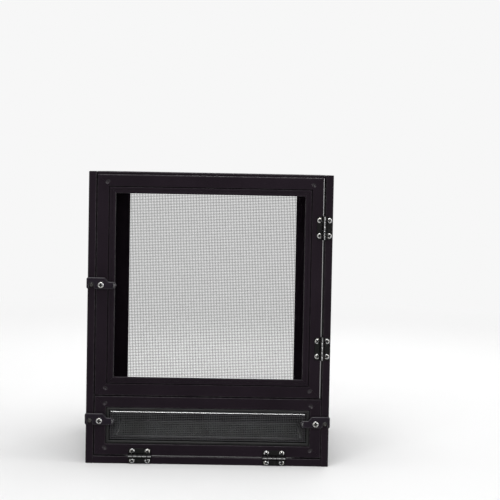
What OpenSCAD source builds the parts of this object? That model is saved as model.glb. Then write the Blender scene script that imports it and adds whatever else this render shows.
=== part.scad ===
// Mesh reptile cage: screened aluminium panels around a floor, a clear hinged front door,
// and a narrow lower door that folds down for cleaning. Front is -Y, up is +Z.

/* [Cage] */
// Width over the two side panels
cage_w = 254; // [220:1:400]
// Depth from the front face to the back face
cage_d = 254; // [220:1:400]
// Height of the cage
cage_h = 305; // [280:1:500]

/* [Rails] */
// Width of a rail from its outer edge to its inner edge
rail_w = 19.5; // [18.5:0.5:24]
// Thickness of every panel
rail_t = 8; // [7.5:0.1:10]
// Width of the hollow tube along a rail's outer edge
tube_w = 12; // [11:0.5:13]
// Wall of the hollow tube
tube_wall = 1; // [0.8:0.1:1.2]
// Thickness of the flange that a pane or the floor lies against
flange_t = 2.5; // [1.5:0.1:3]
// Thickness of the floor of a spline channel
web_t = 1.4; // [1.2:0.1:1.8]
// Width of a spline channel
channel_w = 4; // [3.5:0.1:4.5]
// Height of the lip that a screen is stretched over, from the panel's inner face
lip_h = 5.5; // [5.2:0.1:6]
// Width of the decorative groove in the face of a glazed rail
groove_w = 1.1; // [0.6:0.1:1.2]
// Depth of the decorative groove
groove_d = 0.8; // [0.3:0.1:0.8]

/* [Screens] */
// Thickness of the woven screen
screen_t = 0.5; // [0.3:0.05:0.6]
// Depth that the screen is tucked into its channel
screen_tuck = 3; // [2:0.1:3.5]
// Number of openings along a screen's longer side, far coarser than the real weave
screen_cells = 12; // [4:1:12]
// Width of the bars between those openings
screen_bar = 4; // [2:0.1:6]
// Height of the spline that holds the screen
spline_h = 4.4; // [3:0.1:4.6]
// Play on each side of a spline
spline_play = 0.05; // [0:0.01:0.1]

/* [Pane and floor] */
// Thickness of the clear door pane
pane_t = 2; // [1.5:0.1:2.5]
// Thickness of the floor sheet
floor_t = 3; // [2:0.1:3.5]
// Play around the edge of a pane or the floor
pane_play = 0.4; // [0.2:0.05:0.8]
// Width of the bead that holds a pane or the floor
bead_w = 4; // [3:0.1:5]
// Play between a bead and the tube beside it
bead_play = 0.1; // [0:0.05:0.2]
// Distance that a bead stays below the rail's inner face
bead_drop = 0.5; // [0.2:0.1:0.8]

/* [Doors] */
// Gap at the latch side of the door and at both sides of the lower door
door_gap = 0.8; // [0.6:0.1:1.5]
// Gap at the hinge side of the door
hinge_gap = 1.6; // [1.2:0.1:2]
// Distance from the cage's top down to the door's top
door_drop = 3; // [1:0.5:6]
// Gap between the door and the lower door
seam_gap = 1.5; // [1.3:0.1:2.5]
// Height of the lower door
flap_h = 61.5; // [58:0.5:80]
// Gap between the lower door and the bottom panel
flap_gap = 1; // [0.8:0.1:1.5]
// Gap between the door's back and the top panel's front edge
stop_gap = 0.6; // [0.4:0.1:1]

/* [Corner keys] */
// Length of a corner key's leg
key_leg = 30; // [28:1:34]
// Length of a leg in the lower door's corner keys
flap_key_leg = 20; // [14:1:22]
// Play around a corner key
key_play = 0.15; // [0.1:0.05:0.2]

/* [Screws] */
// Shank diameter of the screws that join the panels
joint_screw_d = 3; // [2.5:0.1:3.5]
// Head diameter of the screws that join the panels
joint_head_d = 5.6; // [5:0.1:6]
// Distance of those screws from a panel's corner
joint_screw_inset = 20; // [16:0.5:24]
// Distance that those screws stop short of a tube's far wall
joint_screw_short = 2; // [1.5:0.1:3]
// Shank diameter of the door's corner screws
corner_screw_d = 2.5; // [2:0.1:3]
// Head diameter of the door's corner screws
corner_head_d = 5.5; // [4.5:0.1:6]
// Head height of the door's corner screws
corner_head_h = 1.8; // [1.2:0.1:2.2]
// Distance of the corner screws from the door's corner
corner_screw_inset = 25; // [22:0.5:27]
// Distance of the corner screws from the door's edge
corner_screw_edge = 8.2; // [8:0.1:8.4]
// Length of a corner screw's shank
corner_screw_len = 5; // [3:0.5:6]
// Radial play of a screw in its hole
screw_play = 0.05; // [0.02:0.01:0.1]

/* [Hinges] */
// Length of a hinge
hinge_len = 24; // [20:0.5:30]
// Number of knuckles in a hinge
knuckles = 5; // [3:2:7]
// Diameter of a knuckle
knuckle_d = 4.2; // [3.8:0.1:4.6]
// Diameter of a hinge pin
pin_d = 2; // [1.6:0.1:2.2]
// Radial play of a pin in its knuckles
pin_play = 0.05; // [0.02:0.01:0.1]
// Head diameter of a hinge pin
pin_head_d = 3.2; // [2.8:0.1:3.6]
// Head height of a hinge pin
pin_head_h = 0.6; // [0.4:0.1:1]
// Gap between knuckles, and between a knuckle and the rails behind it
knuckle_gap = 0.3; // [0.2:0.05:0.5]
// Distance from the pin's centre to the edge of a leaf
leaf_reach = 7.8; // [7:0.1:8]
// Thickness of a leaf
leaf_t = 1; // [0.8:0.1:1.2]
// Distance of a hinge screw from the pin's centre
hinge_screw_out = 5; // [4.6:0.1:5.2]
// Spacing of the two screws in a leaf
hinge_screw_pitch = 16; // [12:0.5:18]
// Shank diameter of a hinge screw
hinge_screw_d = 2; // [1.6:0.1:2.4]
// Head diameter of a hinge screw
hinge_head_d = 5.2; // [3.6:0.1:5.4]
// Head height of a hinge screw
hinge_head_h = 1.6; // [1:0.1:1.8]
// Length of a hinge screw's shank
hinge_screw_len = 5.5; // [4:0.1:6]
// Distance from the door's top and bottom to the middle of a hinge
hinge_inset = 52; // [48:1:80]
// Distance from the lower door's ends to the middle of a hinge
flap_hinge_inset = 48; // [46:1:70]

/* [Latches] */
// Distance from a latch's pivot to the end of its hook
hook_reach = 15; // [14.6:0.1:16]
// Distance from a latch's pivot to the end of its thumb tab
thumb_reach = 15.7; // [13:0.1:18]
// Height of a latch above its pivot
hook_top = 7.8; // [6:0.1:9]
// Depth of a latch below its pivot
hook_bottom = 4.2; // [3.6:0.1:4.8]
// Rounding of the hook's corners
hook_round = 2; // [1:0.1:2.5]
// Height of the thumb tab
thumb_h = 7.6; // [6:0.1:8]
// Distance from the pivot to the start of the shoulder
shoulder_start = 4; // [3:0.1:5]
// Length of the sloped shoulder
shoulder_len = 3.5; // [2:0.1:5]
// Thickness of a latch
latch_t = 3; // [2:0.1:4]
// Gap in front of and behind a latch
latch_gap = 0.3; // [0.2:0.05:0.5]
// Distance of a latch's pivot from the edge of its door
pivot_edge = 5.2; // [4.8:0.1:5.6]
// Distance of the lower latches' pivots from the lower door's top
flap_latch_drop = 25.5; // [25:0.5:32]
// Shank diameter of a pivot screw
pivot_d = 3; // [2.5:0.1:3.4]
// Head diameter of a pivot screw
pivot_head_d = 6; // [5:0.1:7]
// Head height of a pivot screw
pivot_head_h = 1.9; // [1.5:0.1:2.5]
// Length that a pivot screw reaches into its stile
pivot_depth = 5; // [3:0.1:6]
// Radial play of a latch on its screw
pivot_play = 0.05; // [0.02:0.01:0.1]
// Diameter of a keeper stud
keeper_d = 4; // [3.6:0.1:4.2]
// Play between a hook and its keeper stud
keeper_play = 0.35; // [0.3:0.05:0.5]
// Diameter of the stud's stem in the post
keeper_stem_d = 3; // [2.4:0.1:3.4]
// Length of the stud's stem in the post
keeper_stem_len = 6; // [3:0.5:8]

/* [Hidden] */
$fn = 48;
black = "#231f23";
silver = "#c9ccd0";
grey_mesh = "#5b5b60";
soft_black = "#2c2a2c";
// Sides of a panel in order round it, seen from its outer face
SIDES = ["low", "end", "high", "start"];
// The parts that stand proud of the front: latches with their screws, and hinge knuckles
latch_proud = 2 * latch_gap + latch_t + pivot_head_h;
pin_out = knuckle_d / 2 + knuckle_gap;
front_proud = max(latch_proud, pin_out + knuckle_d / 2);
front_y = (front_proud - cage_d) / 2;
back_y = front_y + cage_d;
inner_w = cage_w - 2 * rail_t;
wall_x = inner_w / 2;
top_front_y = front_y + rail_t + stop_gap;
rear_inner_y = back_y - rail_t;
top_d = rear_inner_y - top_front_y;
bottom_d = rear_inner_y - front_y;
// Doors
flap_z = rail_t + flap_gap;
flap_w = inner_w - 2 * door_gap;
flap_top = flap_z + flap_h;
door_x = door_gap - wall_x;
door_w = inner_w - door_gap - hinge_gap;
door_z = flap_top + seam_gap;
door_h = cage_h - door_drop - door_z;
// Hinge axes
door_pin_x = wall_x - hinge_gap / 2;
flap_pin_z = rail_t + flap_gap / 2;
pin_y = front_y - pin_out;
knuckle_len = (hinge_len - (knuckles - 1) * knuckle_gap) / knuckles;
pin_bore = pin_d + 2 * pin_play;
// Screens and splines, measured inwards from a panel's outer edge and from its outer face
lip_edge = tube_w + channel_w;
screen_edge = lip_edge - screen_t;
lip_top = rail_t - lip_h;
screen_top = lip_top - screen_t;
channel_floor = rail_t - web_t;
// Latches
pivot_x = wall_x - door_gap - pivot_edge;
post_x = wall_x + rail_t / 2;
keeper_reach = post_x - pivot_x;
slot_r = keeper_d / 2 + keeper_play;
thumb_top = thumb_h - hook_bottom;
thumb_x = thumb_reach - thumb_h / 2;
door_latch_z = door_z + door_h / 2;
flap_latch_z = flap_top - flap_latch_drop;
// Screws that join the side panels to the others, as points [y, z] on a side panel
joint_sites = [
    [back_y - rail_t / 2, joint_screw_inset],
    [back_y - rail_t / 2, cage_h - joint_screw_inset],
    [top_front_y + joint_screw_inset, cage_h - rail_t / 2],
    [rear_inner_y - joint_screw_inset, cage_h - rail_t / 2],
    [front_y + joint_screw_inset, rail_t / 2],
    [rear_inner_y - joint_screw_inset, rail_t / 2],
];
joint_screw_len = rail_t + tube_w - joint_screw_short;
joint_recess = (joint_head_d - joint_screw_d) / 4;
// Length and width of a cross slot as shares of the screw head's diameter
recess_arm = 0.55;
recess_slit = 0.13;

// A rail lies along X with its outer edge on Y = 0 and its outer face on Z = 0

module face_groove() {
    translate([tube_w, 0]) square([groove_w, groove_d]);
}

module tube_hollow() {
    translate([tube_wall, tube_wall]) square([tube_w - 2 * tube_wall, rail_t - 2 * tube_wall]);
}

// The spline channel is open at the outer face, and the inner face is flat
module screen_section() {
    difference() {
        polygon([[0, 0], [tube_w, 0], [tube_w, channel_floor], [lip_edge, channel_floor],
                 [lip_edge, lip_top], [rail_w, lip_top], [rail_w, rail_t], [0, rail_t]]);
        tube_hollow();
    }
}

// The pane or floor lies behind a flange at the outer face
module glazed_section() {
    difference() {
        polygon([[0, 0], [rail_w, 0], [rail_w, flange_t], [tube_w, flange_t], [tube_w, rail_t],
                 [0, rail_t]]);
        tube_hollow();
        face_groove();
    }
}

// A rail with both ends mitred at 45 degrees
module rail(len, glazed) {
    intersection() {
        rotate([90, 0, 90]) linear_extrude(len) {
            if (glazed) glazed_section();
            else screen_section();
        }
        linear_extrude(rail_t) polygon([[0, 0], [len, 0], [len - rail_w, rail_w], [rail_w, rail_w]]);
    }
}

// One of the four rails around a panel w wide and h high, with the panel's outer face on Z = 0
module panel_rail(side, w, h, glazed = false) {
    turn = search([side], SIDES)[0];
    corner = [[0, 0], [w, 0], [w, h], [0, h]];
    translate(corner[turn]) rotate(90 * turn) rail(turn % 2 == 0 ? w : h, glazed);
}

module inset_slab(edge, w, h, low, thick) {
    translate([edge, edge, low]) cube([w - 2 * edge, h - 2 * edge, thick]);
}

module inset_ring(outer, inner, w, h, low, thick) {
    translate([0, 0, low]) linear_extrude(thick) difference() {
        translate([outer, outer]) square([w - 2 * outer, h - 2 * outer]);
        translate([inner, inner]) square([w - 2 * inner, h - 2 * inner]);
    }
}

// Grid of openings in a screen, within the lips
module screen_openings(w, h) {
    open = [w - 2 * rail_w, h - 2 * rail_w];
    pitch = max(open) / screen_cells;
    count = [for (side = open) max(1, round(side / pitch))];
    step = [for (i = [0, 1]) (open[i] + screen_bar) / count[i]];
    for (x = [0 : count[0] - 1], y = [0 : count[1] - 1])
        translate([rail_w + x * step[0], rail_w + y * step[1]])
            square([step[0] - screen_bar, step[1] - screen_bar]);
}

// A sheet of screen over the lips, with its edge turned down into the channel
module panel_screen(w, h) {
    size = [w - 2 * screen_edge, h - 2 * screen_edge];
    union() {
        translate([0, 0, screen_top]) linear_extrude(screen_t) difference() {
            translate([screen_edge, screen_edge]) square(size);
            screen_openings(w, h);
        }
        inset_ring(screen_edge, lip_edge, w, h, screen_top, screen_t + screen_tuck);
    }
}

module panel_spline(w, h) {
    inset_ring(tube_w + spline_play, screen_edge - spline_play, w, h, channel_floor - spline_h, spline_h);
}

module panel_sheet(w, h, thick) {
    inset_slab(tube_w + pane_play, w, h, flange_t, thick);
}

module panel_bead(w, h, sheet) {
    inset_ring(tube_w + bead_play, tube_w + bead_w, w, h, flange_t + sheet,
               rail_t - flange_t - sheet - bead_drop);
}

// L-shaped key inside the tubes that meet at a corner
module corner_key(leg) {
    edge = tube_wall + key_play;
    wide = tube_w - 2 * edge;
    thick = rail_t - 2 * edge;
    translate([edge, edge, edge]) linear_extrude(thick)
        polygon([[0, 0], [leg, 0], [leg, wide], [wide, wide], [wide, leg], [0, leg]]);
}

module corner_keys(w, h, leg) {
    for (x = [0, 1], y = [0, 1])
        translate([x * w, y * h, 0]) mirror([x, 0, 0]) mirror([0, y, 0]) corner_key(leg);
}

// Places of the panels

module at_left() {
    translate([-cage_w / 2, front_y, 0]) rotate([90, 0, 90]) children();
}

module at_right() {
    mirror([1, 0, 0]) at_left() children();
}

module at_back() {
    translate([-wall_x, back_y, 0]) rotate([90, 0, 0]) children();
}

module at_top() {
    translate([-wall_x, rear_inner_y, cage_h]) rotate([180, 0, 0]) children();
}

module at_bottom() {
    translate([-wall_x, front_y, 0]) children();
}

module at_front(x, z) {
    translate([x, front_y, z]) mirror([0, 1, 0]) rotate([90, 0, 0]) children();
}

module at_door() {
    at_front(door_x, door_z) children();
}

module at_flap() {
    at_front(-flap_w / 2, flap_z) children();
}

// Screws stand on Z = 0 with the head above it and the shank below

// Cross slot for a driver, between two heights
module cross_recess(head_d, low, high) {
    arm = head_d * recess_arm;
    slit = head_d * recess_slit;
    for (turn = [0, 90])
        rotate(turn) translate([-arm / 2, -slit / 2, low]) cube([arm, slit, high - low]);
}

module pan_screw(shank_d, shank_len, head_d, head_h) {
    dome_r = (pow(head_d / 2, 2) + pow(head_h, 2)) / (2 * head_h);
    union() {
        difference() {
            intersection() {
                translate([0, 0, head_h - dome_r]) sphere(dome_r);
                cylinder(h = head_h, d = head_d);
            }
            cross_recess(head_d, head_h / 2, 2 * head_h);
        }
        translate([0, 0, -shank_len]) cylinder(h = shank_len, d = shank_d);
    }
}

module flat_screw(shank_d, shank_len, head_d, play = 0) {
    depth = (head_d - shank_d) / 2;
    union() {
        translate([0, 0, -depth]) cylinder(h = depth, d1 = shank_d + 2 * play, d2 = head_d + 2 * play);
        translate([0, 0, -shank_len]) cylinder(h = shank_len - depth / 2, d = shank_d + 2 * play);
    }
}

// Screw places. Each module puts its child, a screw or a hole, at every place of its kind.

module at_panel_screws() {
    for (side = [0, 1], site = joint_sites)
        mirror([side, 0, 0]) translate([-cage_w / 2, site[0], site[1]]) rotate([0, -90, 0]) children();
}

module at_door_corner_screws() {
    long = corner_screw_inset;
    edge = corner_screw_edge;
    at_door() for (x = [0, 1], y = [0, 1], spot = [[long, edge], [edge, long]])
        translate([x * door_w, y * door_h, rail_t]) mirror([x, 0, 0]) mirror([0, y, 0])
            translate(spot) children();
}

// A hinge lies along Z with its pin on the Z axis, and its leaf's back on Y = pin_out
module at_door_hinge(z) {
    translate([door_pin_x, pin_y, z]) children();
}

module at_upper_hinge() {
    at_door_hinge(door_z + door_h - hinge_inset) children();
}

module at_lower_hinge() {
    at_door_hinge(door_z + hinge_inset) children();
}

module at_flap_hinges() {
    for (side = [-1, 1])
        translate([side * (flap_w / 2 - flap_hinge_inset), pin_y, flap_pin_z])
            rotate([0, 90, 0]) children();
}

// The two screws of the leaf on one side of a hinge: 1 is +X, -1 is -X
module at_leaf_screws(side) {
    for (end = [-1, 1])
        translate([side * hinge_screw_out, pin_out - leaf_t, end * hinge_screw_pitch / 2])
            rotate([90, 0, 0]) children();
}

module hinge_screw() {
    pan_screw(hinge_screw_d, hinge_screw_len, hinge_head_d, hinge_head_h);
}

module hinge_screw_hole() {
    through_hole(hinge_screw_d + 2 * screw_play, hinge_screw_len);
}

// A hole from Z = 0 down, a little deeper than the shank that it takes and open above
module through_hole(d, depth) {
    translate([0, 0, -depth - d]) cylinder(h = depth + 2 * d, d = d);
}

module at_door_pivot() {
    translate([-pivot_x, front_y, door_latch_z]) rotate([90, 0, 0]) children();
}

module at_flap_pivot(side) {
    translate([side * pivot_x, front_y, flap_latch_z]) rotate([90, 0, 0]) children();
}

module at_keepers() {
    for (place = [[-1, door_latch_z], [-1, flap_latch_z], [1, flap_latch_z]])
        translate([place[0] * post_x, front_y, place[1]]) rotate([90, 0, 0]) children();
}

// Holes, cut out of every piece that the screws pass through

module panel_screw_holes() {
    at_panel_screws() {
        flat_screw(joint_screw_d, joint_screw_len + joint_screw_d, joint_head_d, screw_play);
        through_hole(joint_screw_d + 2 * screw_play, joint_screw_len);
    }
}

module keeper_holes() {
    at_keepers() through_hole(keeper_stem_d + 2 * screw_play, keeper_stem_len);
}

module frame_hinge_holes() {
    at_upper_hinge() at_leaf_screws(1) hinge_screw_hole();
    at_lower_hinge() at_leaf_screws(1) hinge_screw_hole();
    at_flap_hinges() at_leaf_screws(1) hinge_screw_hole();
}

module frame_holes() {
    panel_screw_holes();
    keeper_holes();
    frame_hinge_holes();
}

module pivot_hole() {
    through_hole(pivot_d + 2 * screw_play, pivot_depth);
}

module door_holes() {
    at_upper_hinge() at_leaf_screws(-1) hinge_screw_hole();
    at_lower_hinge() at_leaf_screws(-1) hinge_screw_hole();
    at_door_corner_screws() through_hole(corner_screw_d + 2 * screw_play, corner_screw_len);
    at_door_pivot() pivot_hole();
}

module flap_holes() {
    at_flap_hinges() at_leaf_screws(-1) hinge_screw_hole();
    at_flap_pivot(-1) pivot_hole();
    at_flap_pivot(1) pivot_hole();
}

// Rails of each panel

module left_rail(side) {
    color(black) difference() {
        at_left() panel_rail(side, cage_d, cage_h);
        frame_holes();
    }
}

module right_rail(side) {
    color(black) difference() {
        at_right() panel_rail(side, cage_d, cage_h);
        frame_holes();
    }
}

module back_rail(side) {
    color(black) difference() {
        at_back() panel_rail(side, inner_w, cage_h);
        panel_screw_holes();
    }
}

module top_rail(side) {
    color(black) difference() {
        at_top() panel_rail(side, inner_w, top_d);
        panel_screw_holes();
    }
}

module bottom_rail(side) {
    color(black) difference() {
        at_bottom() panel_rail(side, inner_w, bottom_d, glazed = true);
        panel_screw_holes();
        frame_hinge_holes();
    }
}

module door_rail(side) {
    color(black) difference() {
        at_door() panel_rail(side, door_w, door_h, glazed = true);
        door_holes();
    }
}

module flap_rail(side) {
    color(black) difference() {
        at_flap() panel_rail(side, flap_w, flap_h);
        flap_holes();
    }
}

// Screens, floor, pane and what holds them

module left_screen() {
    color(grey_mesh) at_left() panel_screen(cage_d, cage_h);
}

module right_screen() {
    color(grey_mesh) at_right() panel_screen(cage_d, cage_h);
}

module back_screen() {
    color(grey_mesh) at_back() panel_screen(inner_w, cage_h);
}

module top_screen() {
    color(grey_mesh) at_top() panel_screen(inner_w, top_d);
}

module flap_screen() {
    color(grey_mesh) at_flap() panel_screen(flap_w, flap_h);
}

module screen_splines() {
    color(soft_black) {
        at_left() panel_spline(cage_d, cage_h);
        at_right() panel_spline(cage_d, cage_h);
        at_back() panel_spline(inner_w, cage_h);
        at_top() panel_spline(inner_w, top_d);
    }
}

module flap_spline() {
    color(soft_black) at_flap() panel_spline(flap_w, flap_h);
}

module floor_sheet() {
    color(soft_black) at_bottom() panel_sheet(inner_w, bottom_d, floor_t);
}

module floor_bead() {
    color(soft_black) at_bottom() panel_bead(inner_w, bottom_d, floor_t);
}

module door_pane() {
    color("#dfeaf0", 0.35) at_door() panel_sheet(door_w, door_h, pane_t);
}

module door_glazing_bead() {
    color("#d5d5d2", 0.7) at_door() panel_bead(door_w, door_h, pane_t);
}

// Corner keys

module frame_corner_keys() {
    color(soft_black) difference() {
        union() {
            at_left() corner_keys(cage_d, cage_h, key_leg);
            at_right() corner_keys(cage_d, cage_h, key_leg);
            at_back() corner_keys(inner_w, cage_h, key_leg);
            at_top() corner_keys(inner_w, top_d, key_leg);
            at_bottom() corner_keys(inner_w, bottom_d, key_leg);
        }
        frame_holes();
    }
}

module door_corner_keys() {
    color(soft_black) difference() {
        at_door() corner_keys(door_w, door_h, key_leg);
        door_holes();
    }
}

module flap_corner_keys() {
    color(soft_black) difference() {
        at_flap() corner_keys(flap_w, flap_h, flap_key_leg);
        flap_holes();
    }
}

// Screws and studs

module panel_screws() {
    color(black) at_panel_screws() difference() {
        flat_screw(joint_screw_d, joint_screw_len, joint_head_d);
        cross_recess(joint_head_d, -joint_recess, joint_recess);
    }
}

module latch_keepers() {
    reach = latch_gap + latch_t;
    color(black) at_keepers() union() {
        cylinder(h = reach - keeper_play, d = keeper_d);
        translate([0, 0, -keeper_stem_len]) cylinder(h = keeper_stem_len, d = keeper_stem_d);
    }
}

module frame_hinge_screws() {
    color(silver) {
        at_upper_hinge() at_leaf_screws(1) hinge_screw();
        at_lower_hinge() at_leaf_screws(1) hinge_screw();
        at_flap_hinges() at_leaf_screws(1) hinge_screw();
    }
}

module door_hinge_screws() {
    color(silver) {
        at_upper_hinge() at_leaf_screws(-1) hinge_screw();
        at_lower_hinge() at_leaf_screws(-1) hinge_screw();
    }
}

module flap_hinge_screws() {
    color(silver) at_flap_hinges() at_leaf_screws(-1) hinge_screw();
}

module door_corner_screws() {
    color(silver) at_door_corner_screws()
        pan_screw(corner_screw_d, corner_screw_len, corner_head_d, corner_head_h);
}

module pivot_screw() {
    color(silver) translate([0, 0, 2 * latch_gap + latch_t])
        pan_screw(pivot_d, 2 * latch_gap + latch_t + pivot_depth, pivot_head_d, pivot_head_h);
}

module door_latch_screw() {
    at_door_pivot() pivot_screw();
}

module flap_latch_screws() {
    at_flap_pivot(-1) pivot_screw();
    at_flap_pivot(1) pivot_screw();
}

// Hinges

// Knuckles first, first + 2 and so on, joined to a leaf on the given side of the pin
module hinge_leaf(side, first) {
    pitch = knuckle_len + knuckle_gap;
    root = knuckle_d / 2 + knuckle_gap;
    color(black) mirror([side < 0 ? 1 : 0, 0, 0]) difference() {
        union() {
            translate([root, pin_out - leaf_t, -hinge_len / 2]) cube([leaf_reach - root, leaf_t, hinge_len]);
            for (i = [first : 2 : knuckles - 1]) translate([0, 0, i * pitch - hinge_len / 2]) {
                cylinder(h = knuckle_len, d = knuckle_d);
                translate([0, pin_out - leaf_t, 0]) cube([root + leaf_t, leaf_t, knuckle_len]);
            }
        }
        translate([0, 0, -hinge_len]) cylinder(h = 2 * hinge_len, d = pin_bore);
        at_leaf_screws(1) hinge_screw_hole();
    }
}

module hinge_pin() {
    union() {
        translate([0, 0, -hinge_len / 2]) cylinder(h = hinge_len, d = pin_d);
        for (end = [0, 1]) mirror([0, 0, end])
            translate([0, 0, hinge_len / 2]) cylinder(h = pin_head_h, d = pin_head_d);
    }
}

module hinge_pins() {
    color(black) {
        at_upper_hinge() hinge_pin();
        at_lower_hinge() hinge_pin();
        at_flap_hinges() hinge_pin();
    }
}

// Latches

// Hook on -X with a slot that drops over the keeper stud, thumb tab on +X, pivot at the origin
module latch_outline() {
    high = hook_top + hook_bottom;
    difference() {
        union() {
            translate([-hook_reach, hook_round - hook_bottom])
                square([hook_reach + shoulder_start, high - 2 * hook_round]);
            translate([hook_round - hook_reach, -hook_bottom])
                square([hook_reach - hook_round + shoulder_start, high]);
            for (y = [hook_round - hook_bottom, hook_top - hook_round])
                translate([hook_round - hook_reach, y]) circle(hook_round);
            polygon([[0, -hook_bottom], [thumb_x, -hook_bottom], [thumb_x, thumb_top],
                     [shoulder_start + shoulder_len, thumb_top], [shoulder_start, hook_top], [0, hook_top]]);
            translate([thumb_x, thumb_top - thumb_h / 2]) circle(d = thumb_h);
        }
        circle(d = pivot_d + 2 * pivot_play);
        keeper_slot();
    }
}

// Path of the stud through the hook, an arc about the pivot
module keeper_slot() {
    far = keeper_reach + slot_r;
    translate([-keeper_reach, 0]) circle(slot_r);
    intersection() {
        difference() {
            circle(far);
            circle(keeper_reach - slot_r);
        }
        translate([-far, -far]) square(far);
    }
}

module latch() {
    color(soft_black) translate([0, 0, latch_gap]) linear_extrude(latch_t) latch_outline();
}

module door_latch() {
    at_door_pivot() latch();
}

module left_flap_latch() {
    at_flap_pivot(-1) latch();
}

module right_flap_latch() {
    at_flap_pivot(1) mirror([1, 0, 0]) latch();
}

left_rail("start");  // left_front_post
left_rail("end");  // left_rear_post
left_rail("high");  // left_top_rail
left_rail("low");  // left_bottom_rail
left_screen();
right_rail("start");  // right_front_post
right_rail("end");  // right_rear_post
right_rail("high");  // right_top_rail
right_rail("low");  // right_bottom_rail
right_screen();
back_rail("start");  // back_left_post
back_rail("end");  // back_right_post
back_rail("high");  // back_top_rail
back_rail("low");  // back_bottom_rail
back_screen();
top_rail("high");  // top_front_rail
top_rail("low");  // top_rear_rail
top_rail("start");  // top_left_rail
top_rail("end");  // top_right_rail
top_screen();
bottom_rail("low");  // bottom_front_rail
bottom_rail("high");  // bottom_rear_rail
bottom_rail("start");  // bottom_left_rail
bottom_rail("end");  // bottom_right_rail
floor_sheet();
floor_bead();
screen_splines();
frame_corner_keys();
panel_screws();
latch_keepers();
at_upper_hinge() hinge_leaf(1, 0);  // upper_hinge_post_leaf
at_lower_hinge() hinge_leaf(1, 0);  // lower_hinge_post_leaf
at_flap_hinges() hinge_leaf(1, 0);  // flap_hinge_base_leaves
hinge_pins();
frame_hinge_screws();
door_rail("start");  // door_left_stile
door_rail("end");  // door_right_stile
door_rail("high");  // door_top_rail
door_rail("low");  // door_bottom_rail
door_pane();
door_glazing_bead();
door_corner_keys();
door_corner_screws();
at_upper_hinge() hinge_leaf(-1, 1);  // upper_hinge_door_leaf
at_lower_hinge() hinge_leaf(-1, 1);  // lower_hinge_door_leaf
door_hinge_screws();
door_latch_screw();
door_latch();
flap_rail("start");  // flap_left_stile
flap_rail("end");  // flap_right_stile
flap_rail("high");  // flap_top_rail
flap_rail("low");  // flap_bottom_rail
flap_screen();
flap_spline();
flap_corner_keys();
at_flap_hinges() hinge_leaf(-1, 1);  // flap_hinge_door_leaves
flap_hinge_screws();
flap_latch_screws();
left_flap_latch();
right_flap_latch();
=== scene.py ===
"""Looks of the mesh reptile cage. Each piece is worked out on a grid of points and rides on its body."""
import math

import bmesh
import bpy
import numpy as np
from mathutils import Matrix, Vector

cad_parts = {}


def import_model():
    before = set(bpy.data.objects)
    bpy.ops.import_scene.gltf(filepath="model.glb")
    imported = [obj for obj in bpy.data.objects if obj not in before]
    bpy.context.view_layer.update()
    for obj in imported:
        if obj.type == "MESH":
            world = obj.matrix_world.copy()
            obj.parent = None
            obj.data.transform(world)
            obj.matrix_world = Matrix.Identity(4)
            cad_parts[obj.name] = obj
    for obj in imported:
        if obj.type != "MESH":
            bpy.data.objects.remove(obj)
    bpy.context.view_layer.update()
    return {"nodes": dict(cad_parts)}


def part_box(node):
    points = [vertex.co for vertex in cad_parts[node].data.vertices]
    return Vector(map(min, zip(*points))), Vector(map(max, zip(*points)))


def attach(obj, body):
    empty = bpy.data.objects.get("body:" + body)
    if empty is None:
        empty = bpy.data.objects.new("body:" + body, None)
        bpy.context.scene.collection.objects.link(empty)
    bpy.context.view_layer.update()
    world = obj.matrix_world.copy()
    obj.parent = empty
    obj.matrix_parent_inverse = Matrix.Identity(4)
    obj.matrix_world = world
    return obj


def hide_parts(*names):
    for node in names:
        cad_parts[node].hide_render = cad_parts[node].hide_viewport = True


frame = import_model()

MM = 0.001
X = np.array([1.0, 0.0, 0.0])
Y = np.array([0.0, 1.0, 0.0])
Z = np.array([0.0, 0.0, 1.0])
SHARP = math.radians(38)
chance = np.random.default_rng(12)

# Rails, measured inwards from a panel's outer edge and from its outer face
RAIL_W = 19.5 * MM
RAIL_T = 8 * MM
TUBE_W = 12 * MM
FLANGE_T = 2.5 * MM
CHANNEL_FLOOR = 6.6 * MM
LIP_EDGE = 16 * MM
LIP_TOP = 2.5 * MM
EDGE_ROUND = 0.9 * MM
LIP_SLOPE_W = 1.2 * MM
LIP_SLOPE_D = 0.55 * MM
INNER_ROUND = 0.25 * MM
GROOVE_W = 1.1 * MM
GROOVE_D = 0.9 * MM
FINE_LINE_AT = 15.6 * MM
FINE_LINE_W = 0.5 * MM
FINE_LINE_D = 0.22 * MM
EASE = 0.12 * MM
MITRE_GAP = 0.03 * MM
SEAM_FILL = 0.35 * MM
SIDE_FILL = 0.55 * MM
DENT_ALONG = 10.9 * MM
DENT_INWARD = 7.5 * MM
DENT_LONG = 2.7 * MM
DENT_SHORT = 1.8 * MM
DENT_D = 1.2 * MM

# Points across a punch mark, a groove's rounding over its depth, and the outline point where strips start
DENT_STEPS = 15
NOTCH_ROUND = 0.4
STRIP_START = 3

# Screens and what holds them
WIRE_R = 0.24 * MM
WIRE_PITCH = 1.85 * MM
WIRE_TUCK = 5.3 * MM
WIRE_EDGE = 15.75 * MM
SPLINE_EDGE = 15.4 * MM
SPLINE_TOP = 0.8 * MM
SPLINE_CROWN = 0.9 * MM
SPLINE_WAVE = 0.12 * MM
SPLINE_STATIONS = 40
BEAD_W = 4 * MM
BEAD_FOOT = 0.25 * BEAD_W
BEAD_DROP = 0.5 * MM
SHEET_GAP = 0.05 * MM
SHEET_PLAY = 0.4 * MM
SHEET_BEVEL = 0.3 * MM

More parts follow.
